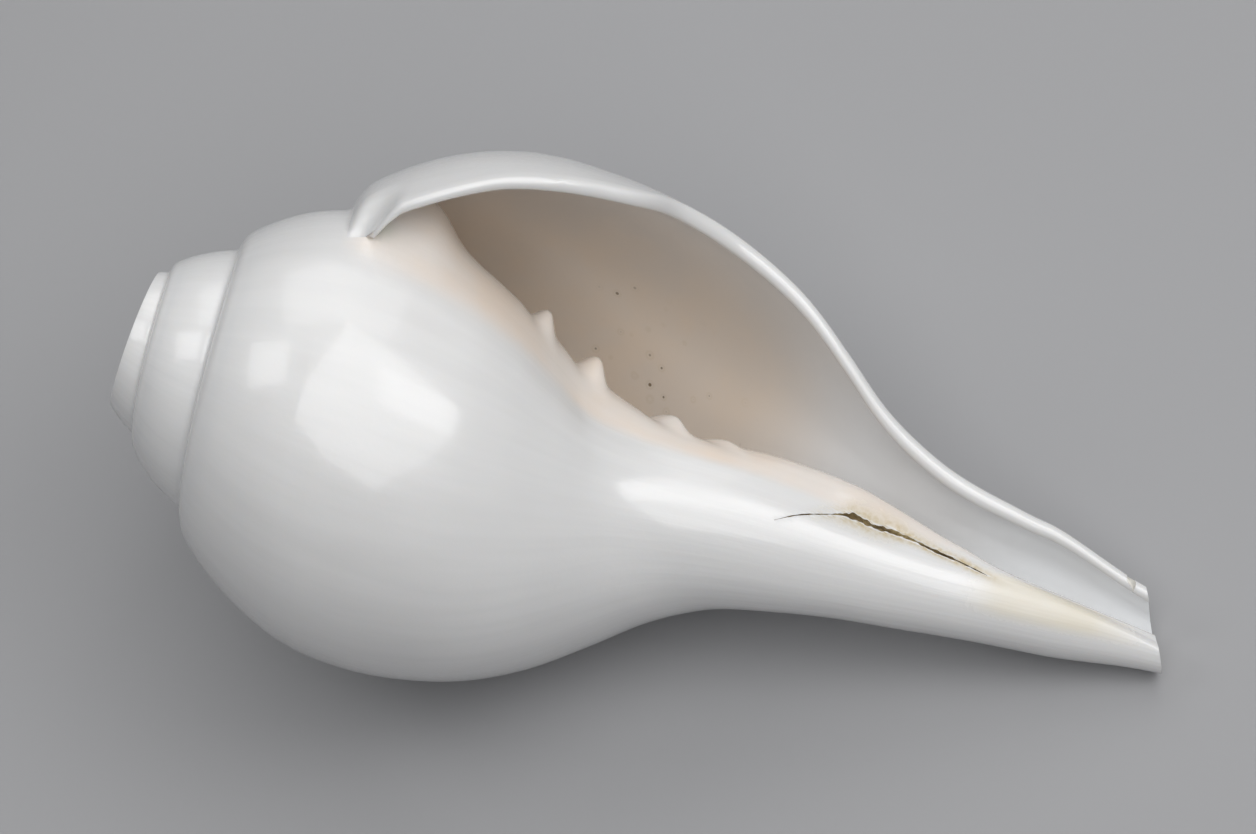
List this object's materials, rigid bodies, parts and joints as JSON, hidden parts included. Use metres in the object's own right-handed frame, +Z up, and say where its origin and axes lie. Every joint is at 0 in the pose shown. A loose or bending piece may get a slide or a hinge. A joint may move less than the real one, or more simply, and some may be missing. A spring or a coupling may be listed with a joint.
{
  "type": "conch shell",
  "caption": "Polished white conch shell with a bulbous last whorl, plaited columella, long siphonal canal and a spire sawn off flat for blowing.",
  "frame": {"origin": "under the middle of the shell's bounding box, on the surface that it rests on", "axes": "+Z up as the shell rests on its belly with the mouth up, +X along the shell from the sawn spire to the siphonal canal"},
  "size_m": [0.149, 0.0768, 0.0749],
  "materials": {
    "shell": "polished white shell, glossy outside, with a warm grey-beige mouth, peach columella and callus, a yellow-brown stain in the chink and a cream worn patch beside the canal"
  },
  "bodies": {
    "root": {"conch_shell": "shell"}
  },
  "joints": []
}
